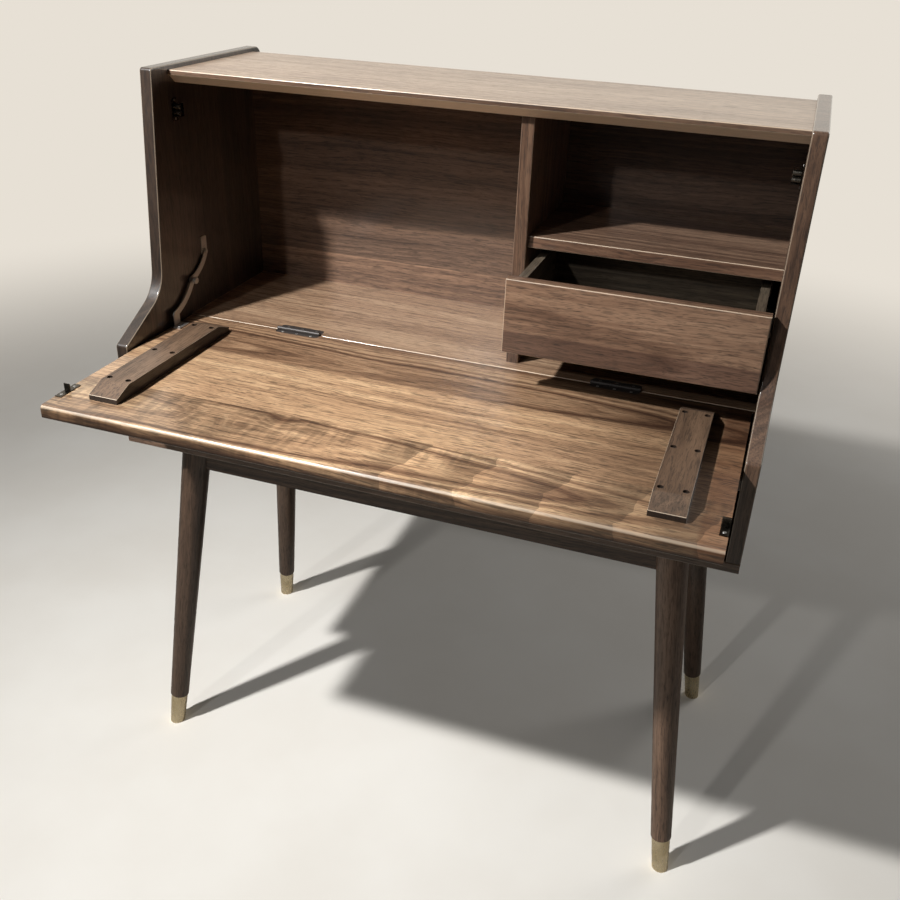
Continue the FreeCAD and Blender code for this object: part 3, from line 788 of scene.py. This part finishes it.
def added(name: str, shape: bmesh.types.BMesh, material: bpy.types.Material,
          body: str, smooth: bool = False) -> bpy.types.Object:
    """Turn a finished shape into a piece that rides on a body.

    Args:
        name: Name of the piece.
        shape: Its shape, in place.
        material: Its material.
        body: Body that it rides on.
        smooth: Whether its faces are shaded smoothly up to its sharp edges.

    Returns:
        The piece.
    """
    bmesh.ops.recalc_face_normals(shape, faces=shape.faces)
    if smooth:
        for face in shape.faces:
            face.smooth = True
        for edge in shape.edges:
            edge.smooth = edge.calc_face_angle(0.0) < SHARP_ANGLE
    mesh = bpy.data.meshes.new(name)
    shape.to_mesh(mesh)
    shape.free()
    mesh.materials.append(material)
    piece = bpy.data.objects.new(name, mesh)
    bpy.context.scene.collection.objects.link(piece)
    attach(piece, body)
    LOG.info("%s rides on %s", name, body)
    return piece


def laid(where: Vector, up: Vector) -> Matrix:
    """Matrix that stands a shape made along Z on a surface.

    Args:
        where: Place of the shape's origin.
        up: Direction that its Z takes.

    Returns:
        The matrix.
    """
    return Matrix.Translation(where) @ up.to_track_quat("Z", "Y").to_matrix().to_4x4()


def turned(profile: list[tuple[float, float]], steps: int, place: Matrix) -> bmesh.types.BMesh:
    """Turn a profile about Z and put it in place.

    Args:
        profile: Radii and heights.
        steps: Steps of the turn.
        place: Matrix that puts it in place.

    Returns:
        The turned shape.
    """
    shape = bmesh.new()
    points = [shape.verts.new((radius, 0.0, height)) for radius, height in profile]
    edges = [shape.edges.new(pair) for pair in zip(points, points[1:])]
    bmesh.ops.spin(shape, geom=points + edges, axis=(0.0, 0.0, 1.0), cent=(0.0, 0.0, 0.0),
                   angle=math.tau, steps=steps, use_merge=True)
    bmesh.ops.remove_doubles(shape, verts=shape.verts, dist=MERGE_DISTANCE)
    bmesh.ops.transform(shape, matrix=place, verts=shape.verts)
    return shape


@dataclass(frozen=True)
class Screw:
    """Head of a cross-head screw, sunk into what it holds."""

    radius: float = 0.003
    rise: float = 0.0004
    sunk: float = 0.0006
    rim: float = 0.82
    arm: float = 0.58
    slot: float = 0.17
    recess: float = 0.0006
    taper: float = 0.04
    segments: int = 20
    first_turn: float = 17.0
    turn_step: float = 53.0

    def head(self) -> bpy.types.Mesh:
        """Make one head at the origin, with its cross facing up Z.

        Returns:
            The head's mesh.
        """
        shape = bmesh.new()
        lift = Matrix.Translation((0.0, 0.0, (self.rise - self.sunk) / 2))
        bmesh.ops.create_cone(shape, cap_ends=True, segments=self.segments, radius1=self.radius,
                              radius2=self.radius * self.rim, depth=self.rise + self.sunk,
                              matrix=lift)
        cells = [max(shape.faces, key=lambda face: face.calc_center_median().z)]
        for normal in (Vector((1.0, 0.0, 0.0)), Vector((0.0, 1.0, 0.0))):
            for share in (-self.arm, -self.slot, self.slot, self.arm):
                around = {part for face in cells for part in (*face.edges, *face.verts)}
                cut = bmesh.ops.bisect_plane(shape, geom=cells + list(around), plane_no=normal,
                                             plane_co=normal * share * self.radius)
                cells = [part for part in cut["geom"] if isinstance(part, bmesh.types.BMFace)]
        cross = [face for face in cells if self._inside(face.calc_center_median())]
        bmesh.ops.inset_region(shape, faces=cross, thickness=self.radius * self.taper,
                               depth=-self.recess, use_boundary=True, use_even_offset=True)
        mesh = bpy.data.meshes.new("screw_head")
        shape.to_mesh(mesh)
        shape.free()
        return mesh

    def _inside(self, point: Vector) -> bool:
        """Whether a point on the head is inside the cross.

        Args:
            point: The point.

        Returns:
            Whether it is inside.
        """
        far = max(abs(point.x), abs(point.y))
        near = min(abs(point.x), abs(point.y))
        return far < self.arm * self.radius and near < self.slot * self.radius


def screws(name: str, screw: Screw, places: list[Vector], up: Vector, body: str,
           metal: Metal) -> None:
    """Add a row of screw heads as one piece.

    Args:
        name: Name of the piece.
        screw: Kind of screw.
        places: Middles of the heads, on the surface.
        up: Direction out of the surface.
        body: Body that they ride on.
        metal: Their metal.
    """
    head = screw.head()
    shape = bmesh.new()
    for index, where in enumerate(places):
        before = len(shape.verts)
        shape.from_mesh(head)
        shape.verts.ensure_lookup_table()
        turn = math.radians(screw.first_turn + screw.turn_step * index)
        spin = Matrix.Rotation(turn, 4, "Z")
        bmesh.ops.transform(shape, matrix=laid(where, up) @ spin, verts=shape.verts[before:])
    bpy.data.meshes.remove(head)
    added(name, shape, metal.made(), body)


@dataclass(frozen=True)
class Lamp:
    """Square lamp that faces a place."""

    name: str
    place: Place
    power: float
    size: float
    target: Place = (0.0, 0.0, 0.8)
    spread: float = 180.0

    def build(self) -> None:
        """Make the lamp."""
        data = bpy.data.lights.new(self.name, "AREA")
        data.energy = self.power
        data.size = self.size
        data.spread = math.radians(self.spread)
        lamp = bpy.data.objects.new(self.name, data)
        aim = Vector(self.target) - Vector(self.place)
        turn = aim.to_track_quat("-Z", "Y").to_matrix().to_4x4()
        lamp.matrix_world = Matrix.Translation(self.place) @ turn
        bpy.context.scene.collection.objects.link(lamp)


@dataclass
class Studio:
    """Camera, lamps, floor and background."""

    eye: Place = (0.4692, -1.3312, 1.4147)
    yaw: float = 18.505
    pitch: float = -28.808
    roll: float = 2.2015
    lens: float = 39.27
    sensor: float = 36.0
    lamps: tuple[Lamp, ...] = (
        Lamp("key_lamp", (-1.044, -1.166, 2.45), 30.0, 0.1, (-0.12, -0.15, 0.8), 110.0),
        Lamp("front_lamp", (-0.964, -2.916, 2.532), 16.0, 0.12),
        Lamp("back_lamp", (1.9, 2.2, 2.2), 20.0, 1.4),
    )
    world_level: float = 0.022
    backdrop: Colour = linear(231, 224, 213)
    floor_dull: Colour = linear(152, 146, 136)
    floor_tones: tuple[Colour, Colour] = (linear(236, 231, 222), linear(242, 238, 230))
    floor_clouds: Place = (3.0, 3.0, 3.0)
    floor_roughness: float = 0.8
    floor_size: float = 9.0
    floor_near: float = 1.5
    floor_far: float = 3.6
    gloss_range: tuple[float, float] = (-0.15, 0.35)

    def build(self) -> None:
        """Make the camera, the lamps, the floor and the world."""
        self._camera()
        for lamp in self.lamps:
            lamp.build()
        self._floor()
        self._world()
        bpy.context.scene.view_settings.view_transform = "Standard"

    def _camera(self) -> None:
        """Make the camera that sees the desk as the photograph does."""
        yaw = math.radians(self.yaw)
        pitch = math.radians(self.pitch)
        roll = math.radians(self.roll)
        ahead = Vector((-math.sin(yaw) * math.cos(pitch), math.cos(yaw) * math.cos(pitch),
                        math.sin(pitch)))
        level = Vector((math.cos(yaw), math.sin(yaw), 0.0))
        upright = level.cross(ahead)
        right = level * math.cos(roll) + upright * math.sin(roll)
        up = upright * math.cos(roll) - level * math.sin(roll)
        data = bpy.data.cameras.new("camera")
        data.lens = self.lens
        data.sensor_width = self.sensor
        camera = bpy.data.objects.new("camera", data)
        turn = Matrix((right, up, -ahead)).transposed()
        camera.matrix_world = Matrix.Translation(self.eye) @ turn.to_4x4()
        bpy.context.scene.collection.objects.link(camera)
        bpy.context.scene.camera = camera

    def _floor(self) -> None:
        """Make the pale floor, which runs out into the background far from the desk."""
        mesh = bpy.data.meshes.new("floor")
        shape = bmesh.new()
        bmesh.ops.create_grid(shape, x_segments=1, y_segments=1, size=self.floor_size)
        shape.to_mesh(mesh)
        shape.free()
        floor = bpy.data.objects.new("floor", mesh)
        bpy.context.scene.collection.objects.link(floor)
        pattern = Pattern("floor")
        place = pattern.raw()
        share = pattern.span(pattern.noise(place, self.floor_clouds, 4.0), 0.3, 0.7)
        pale = pattern.blend("MIX", share, *self.floor_tones)
        camera_ray = pattern.made("ShaderNodeLightPath").outputs["Is Camera Ray"]
        colour = pattern.blend("MIX", camera_ray, self.floor_dull, pale)
        pattern.set(Base_Color=colour, Roughness=self.floor_roughness)
        far = pattern.vector("LENGTH", place, (0.0, 0.0, 0.0))
        seen = pattern.number("MULTIPLY", camera_ray,
                              pattern.span(far, self.floor_near, self.floor_far))
        glow = pattern.made("ShaderNodeEmission", {"Color": self.backdrop})
        mix = pattern.made("ShaderNodeMixShader", {0: seen, 1: pattern.shader.outputs[0],
                                                   2: glow.outputs[0]})
        pattern.feed(pattern.tree.nodes["Material Output"], "Surface", mix.outputs[0])
        mesh.materials.append(pattern.material)

    def _world(self) -> None:
        """Light the scene evenly, and show a pale background to the camera and to gloss.

        Gloss sees the pale background only towards the back, where the photograph has a
        bright wall, and the plain level elsewhere.
        """
        world = bpy.data.worlds.new("studio")
        world.use_nodes = True
        bpy.context.scene.world = world
        nodes = Nodes(world.node_tree)
        nodes.tree.nodes.clear()
        rays = nodes.made("ShaderNodeLightPath")
        way = nodes.made("ShaderNodeTexCoord").outputs["Generated"]
        start, end = self.gloss_range
        behind = nodes.made("ShaderNodeMapRange", {"Value": nodes.part(way, 1), "From Min": start,
                                                   "From Max": end})
        gloss = nodes.number("MULTIPLY", rays.outputs["Is Glossy Ray"], behind.outputs["Result"])
        seen = nodes.number("MAXIMUM", rays.outputs["Is Camera Ray"], gloss)
        dim = nodes.made("ShaderNodeBackground", {"Strength": self.world_level})
        bright = nodes.made("ShaderNodeBackground", {"Color": self.backdrop})
        mix = nodes.made("ShaderNodeMixShader", {0: seen, 1: dim.outputs[0], 2: bright.outputs[0]})
        nodes.made("ShaderNodeOutputWorld", {"Surface": mix.outputs[0]})


@dataclass
class Case:
    """Boards of the case, and the screws of its back panel."""

    band: float = 0.057
    # Tint of the paler foot of the back panel: a lighter board, made paler still as painted light.
    band_tint_with_painted_light: Colour = (1.9, 1.88, 1.82)
    screw: Screw = Screw(radius=0.0036)
    screw_inset: float = 0.012
    screw_columns: int = 6

    def dress(self) -> None:
        """Give each board its walnut."""
        panel("top_board", TOP_WALNUT, Grain.ACROSS, (0.30, 0.05))
        panel("shelf", SHELF_WALNUT, Grain.ACROSS, (0.16, 0.05))
        panel("bottom_board", PAINTED_LIGHT_BOTTOM_WALNUT, Grain.ACROSS, (0.20, 0.05))
        panel("ledge_board", DARK_WALNUT, Grain.ACROSS, (0.15, 0.06))
        panel("writing_board", FACE_WALNUT, Grain.ACROSS, (0.26, 0.06), (1.6, 0.8))
        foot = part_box("writing_board")[1].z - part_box("back_panel")[0].z
        # The foot of the back panel's front face is paler: a lighter board there, made paler still
        # as painted light.
        pale_band_with_painted_light = Strip(Side.BOTTOM, foot, foot + self.band, self.band_tint_with_painted_light, fore=True)
        panel("back_panel", BACK_WALNUT, Grain.ACROSS, (0.05, 0.32), (0.5, 0.6), (pale_band_with_painted_light,))
        panel("divider", DIVIDER_WALNUT, Grain.UPRIGHT, (0.10, 0.08))
        panel("side_panel_left", PAINTED_SHADE_LEFT_WALNUT, Grain.UPRIGHT, (0.24, 0.08))
        panel("side_panel_right", RIGHT_WALNUT, Grain.UPRIGHT, (0.27, 0.07))

    def build(self) -> None:
        """Add the screws that hold the back panel."""
        low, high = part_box("back_panel")
        places = []
        for row in (low.z + self.screw_inset, high.z - self.screw_inset):
            for column in range(self.screw_columns):
                share = column / (self.screw_columns - 1)
                x = low.x + self.screw_inset + share * (high.x - low.x - 2 * self.screw_inset)
                places.append(Vector((x, high.y, row)))
        for x in (low.x + self.screw_inset, high.x - self.screw_inset):
            for share in (1 / 3, 2 / 3):
                places.append(Vector((x, high.y, low.z + share * (high.z - low.z))))
        screws("back_panel_screws", self.screw, places, Vector((0.0, 1.0, 0.0)), "case", STEEL)


@dataclass
class Underframe:
    """Legs, ferrules, rails and the braces in the corners between them."""

    brace_near: float = 0.042
    brace_far: float = 0.068
    brace_height: float = 0.034
    brace_bevel: float = 0.0015
    brace_box: float = 0.05
    near_screw: float = 2.2
    far_screw: float = 0.86
    screw: Screw = Screw(radius=0.0038)
    splay: tuple[float, float] = (0.0725, 0.058)
    leg_rise: float = 0.6147

    def dress(self) -> None:
        """Give each leg its walnut along its own axis, and the ferrules their brass."""
        panel("front_rail", LEG_WALNUT, Grain.ACROSS)
        panel("back_rail", LEG_WALNUT, Grain.ACROSS)
        for side in SIDES:
            panel(f"side_rail_{side}", LEG_WALNUT, Grain.DEEP)
            for end in ("front", "back"):
                name = f"leg_{end}_{side}"
                out = -1.0 if side == "left" else 1.0
                ahead = -1.0 if end == "front" else 1.0
                lean = Vector((-out * self.splay[0], -ahead * self.splay[1], self.leg_rise))
                lean.normalize()
                # The front right leg is paler, as painted light.
                walnut = PAINTED_LIGHT_LEG_WALNUT if name == "leg_front_right" else LEG_WALNUT
                paint(name, walnut.made(name, lean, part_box(name), (0.03, 0.06), (0.4, 0.8)))
                paint(f"ferrule_{end}_{side}", BRASS.made())

    def build(self) -> None:
        """Add a brace across each corner of the underframe, with two screws."""
        for end, ahead in (("front", -1.0), ("back", 1.0)):
            low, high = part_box(f"{end}_rail")
            middle = (low.y + high.y) / 2
            half = (high.y - low.y) / 2
            for side, out in (("left", -1.0), ("right", 1.0)):
                rail_low, rail_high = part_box(f"side_rail_{side}")
                corner = Vector(((rail_low.x + rail_high.x) / 2, middle, high.z))
                self._brace(f"{end}_{side}", corner, half, Vector((-out, -ahead, 0.0)))

    def _brace(self, name: str, corner: Vector, half: float, inwards: Vector) -> None:
        """Add one brace.

        Args:
            name: Name of its corner.
            corner: Where the middles of the two rails meet, under the bottom board.
            half: Half the thickness of the rails.
            inwards: Signs of X and Y towards the middle of the desk.
        """
        shape = bmesh.new()
        outline = ((half, self.brace_near), (half, self.brace_far),
                   (self.brace_far, half), (self.brace_near, half))
        points = []
        for along, back in outline:
            step = Vector((along * inwards.x, back * inwards.y, 0.0))
            points.append(shape.verts.new(corner + step))
        face = shape.faces.new(points)
        grown = bmesh.ops.extrude_face_region(shape, geom=[face], use_keep_orig=True)
        lower = [part for part in grown["geom"] if isinstance(part, bmesh.types.BMVert)]
        bmesh.ops.translate(shape, verts=lower, vec=(0.0, 0.0, -self.brace_height))
        bmesh.ops.bevel(shape, geom=list(shape.edges), offset=self.brace_bevel, segments=2,
                        profile=0.5, affect="EDGES", material=-1)
        middle = (self.brace_near + self.brace_far) / 2
        walnut = LEG_WALNUT.made(f"brace_{name}", Vector((1.0, 0.0, 0.0)),
                                 (corner - Vector((self.brace_box,) * 3), corner), (0.02, 0.05),
                                 (45.0 * inwards.x * inwards.y, 1.0))
        added(f"brace_{name}", shape, walnut, "case")
        places = []
        near, far = half * self.near_screw, middle * self.far_screw
        for along, back in ((near, far), (far, near)):
            step = Vector((along * inwards.x, back * inwards.y, -self.brace_height))
            places.append(corner + step)
        screws(f"brace_screws_{name}", self.screw, places, -UP, "case", STEEL)


@dataclass
class Flap:
    """Flap, its battens, and the screws that show on them."""

    right_end: float = 0.034
    # Width of the painted shade at the flap's right end.
    painted_shade: float = 0.21
    outside: float = 0.004
    batten_screw: Screw = Screw(radius=0.0036, rise=0.0004, sunk=0.0008)
    batten_screw_inset: float = 0.0037
    hinge_axis: float = 0.0507
    hinge_screw: Screw = Screw(radius=0.0027, rise=0.0002, sunk=0.0004)
    hinge_screw_step: float = 0.026
    plate_share: float = 0.62
    leaf_share: float = 0.66
    strike_screw: Screw = Screw(radius=0.0026, rise=0.0003, sunk=0.0004)
    strike_screw_step: float = 0.0145
    strike_plate: float = 0.0012

    def dress(self) -> None:
        """Give the flap its figured walnut and its fittings their metals."""
        end = Strip(Side.RIGHT, 0.0, self.right_end, (0.7, 0.6, 0.57), 0.004)
        # Painted shade: the flap darkens towards its right end.
        painted_falloff = Strip(Side.RIGHT, 0.0, self.painted_shade, (0.5, 0.48, 0.47), self.painted_shade / 2)
        outside = Strip(Side.BOTTOM, 0.0, self.outside, (0.36, 0.32, 0.31), self.outside / 2)
        panel("flap_board", FLAP_WALNUT, Grain.ACROSS, (-0.104, 0.045), (0.8, -2.6),
              (painted_falloff, end, outside))
        for side in SIDES:
            panel(f"batten_{side}", BATTEN_WALNUT, Grain.DEEP, (0.03, 0.06))
            for kind in ("batten_screws", "hinge_plate", "hinge_leaf", "hinge_pin"):
                paint(f"{kind}_{side}", BRONZE.made())
            paint(f"strike_{side}", STRIKE_STEEL.made())

    def build(self) -> None:
        """Add the screw heads of the battens, the hinges and the strikes."""
        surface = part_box("writing_board")[1].z
        for side in SIDES:
            low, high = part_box(f"batten_screws_{side}")
            inset = self.batten_screw_inset
            rows = (low.y + inset, (low.y + high.y) / 2, high.y - inset)
            columns = (low.x + inset, high.x - inset)
            places = [Vector((x, y, high.z)) for y in rows for x in columns]
            screws(f"batten_screw_heads_{side}", self.batten_screw, places, UP, "flap", BRONZE)
            for kind, body in (("plate", "case"), ("leaf", "flap")):
                low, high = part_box(f"hinge_{kind}_{side}")
                far = high.y if kind == "plate" else low.y
                share = self.plate_share if kind == "plate" else self.leaf_share
                y = self.hinge_axis + (far - self.hinge_axis) * share
                middle = (low.x + high.x) / 2
                places = [Vector((middle + way * self.hinge_screw_step, y, surface))
                          for way in (-1, 0, 1)]
                screws(f"hinge_{kind}_screws_{side}", self.hinge_screw, places, UP, body, NICKEL)
            low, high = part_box(f"strike_{side}")
            middle = (low + high) / 2
            places = [Vector((middle.x, middle.y + way * self.strike_screw_step,
                              surface + self.strike_plate)) for way in (-1, 1)]
            screws(f"strike_screws_{side}", self.strike_screw, places, UP, "flap", NICKEL)


@dataclass
class Catches:
    """Roller catches under the ends of the top board."""

    groove_depth: float = 0.0006
    groove: tuple[tuple[float, float], ...] = ((-0.2, 0.0), (-0.12, 1.0), (0.12, 1.0), (0.2, 0.0))
    grooves: int = 4
    steps: int = 32
    bore: float = 0.00125
    chamfer: float = 0.0005
    plate: float = 0.0015
    screw: Screw = Screw(radius=0.0022, rise=0.0003, sunk=0.0004)
    screw_step: float = 0.0143

    def dress(self) -> None:
        """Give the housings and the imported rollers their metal."""
        for side in SIDES:
            paint(f"catch_{side}", STEEL.made())
            for height in ("bottom", "top"):
                paint(f"catch_roller_{side}_{height}", NICKEL.made())

    def build(self) -> None:
        """Turn the grooved rollers, and add the screws of the wall plates."""
        for side, inwards in (("left", 1.0), ("right", -1.0)):
            for height in ("bottom", "top"):
                self._roller(side, height)
            low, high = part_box(f"catch_{side}")
            wall = low.x if side == "left" else high.x
            middle = (low + high) / 2
            places = [Vector((wall + inwards * self.plate, middle.y, middle.z + step))
                      for step in (-self.screw_step, self.screw_step)]
            screws(f"catch_screws_{side}", self.screw, places, Vector((inwards, 0.0, 0.0)),
                   "case", NICKEL)

    def _roller(self, side: str, height: str) -> None:
        """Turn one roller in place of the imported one.

        Args:
            side: Side of the desk.
            height: Place in the catch.
        """
        node = f"catch_roller_{side}_{height}"
        low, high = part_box(node)
        radius = (high.z - low.z) / 2
        length = high.x - low.x
        profile = [(self.bore, 0.0), (radius - self.chamfer, 0.0), (radius, self.chamfer)]
        pitch = (length - 2 * self.chamfer) / (self.grooves + 1)
        for index in range(1, self.grooves + 1):
            middle = self.chamfer + index * pitch
            for step, depth in self.groove:
                profile.append((radius - depth * self.groove_depth, middle + step * pitch))
        profile += [(radius, length - self.chamfer), (radius - self.chamfer, length),
                    (self.bore, length), (self.bore, 0.0)]
        where = Vector((low.x, (low.y + high.y) / 2, (low.z + high.z) / 2))
        shape = turned(profile, self.steps, laid(where, Vector((1.0, 0.0, 0.0))))
        piece = added(f"turned_roller_{side}_{height}", shape, ROLLER_STEEL.made(),
                      f"roller_{side}_{height}", smooth=True)
        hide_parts(node)


@dataclass
class Stay:
    """Folding stay on the left."""

    elbow: Place = (-0.4712, 0.0541, 0.842)
    knob: tuple[tuple[float, float], ...] = (
        (0.0, -0.0005), (0.0062, -0.0005), (0.0062, 0.0008), (0.004, 0.0014), (0.004, 0.0026),
        (0.0058, 0.0032), (0.0058, 0.0062), (0.0046, 0.0074), (0.0, 0.0078))
    steps: int = 24
    plate: float = 0.002
    screw: Screw = Screw(radius=0.0024, rise=0.0003, sunk=0.0004)
    wall_screw_drops: tuple[float, float] = (0.006, 0.017)
    flap_screw_inset: float = 0.0055
    flap_screw_step: float = 0.0075

    def dress(self) -> None:
        """Give the arms and brackets their nickel."""
        for part in ("wall_bracket", "upper_arm", "lower_arm", "flap_bracket"):
            paint(f"stay_{part}", NICKEL.made())

    def build(self) -> None:
        """Add the turned knob at the elbow and the screws of the brackets."""
        out = Vector((1.0, 0.0, 0.0))
        shape = turned(list(self.knob), self.steps, laid(Vector(self.elbow), out))
        added("stay_knob", shape, NICKEL.made(), "stay_lower", smooth=True)
        low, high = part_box("stay_wall_bracket")
        places = [Vector((low.x + self.plate, (low.y + high.y) / 2, high.z - drop))
                  for drop in self.wall_screw_drops]
        screws("stay_wall_screws", self.screw, places, out, "case", NICKEL)
        low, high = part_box("stay_flap_bracket")
        middle = (low.y + high.y) / 2
        places = [Vector((high.x - self.flap_screw_inset, middle + way * self.flap_screw_step,
                          low.z + self.plate)) for way in (-1, 1)]
        screws("stay_flap_screws", self.screw, places, UP, "flap", NICKEL)


@dataclass
class Drawer:
    """Drawer box and its slides."""

    dark_foot: float = 0.034

    def dress(self) -> None:
        """Give the drawer its walnut and the slides their nickel."""
        foot = Strip(Side.BOTTOM, 0.0, self.dark_foot, (0.56, 0.52, 0.55), 0.0015)
        panel("drawer_front", DRAWER_WALNUT, Grain.ACROSS, (0.24, 0.02), (0.4, 0.3), (foot,))
        for side in SIDES:
            panel(f"drawer_side_{side}", INSIDE_WALNUT, Grain.DEEP)
            paint(f"slide_rail_{side}", NICKEL.made())
            paint(f"slide_runner_{side}", NICKEL.made())
        panel("drawer_back", INSIDE_WALNUT, Grain.ACROSS)
        panel("drawer_bottom", INSIDE_WALNUT, Grain.ACROSS)


def main() -> None:
    """Build and dress every sub-assembly in order."""
    logging.basicConfig(level=logging.INFO, format="%(message)s")
    Studio().build()
    for assembly in (Case(), Underframe(), Flap(), Catches(), Stay()):
        assembly.dress()
        assembly.build()
    Drawer().dress()


if __name__ == "__main__":
    main()
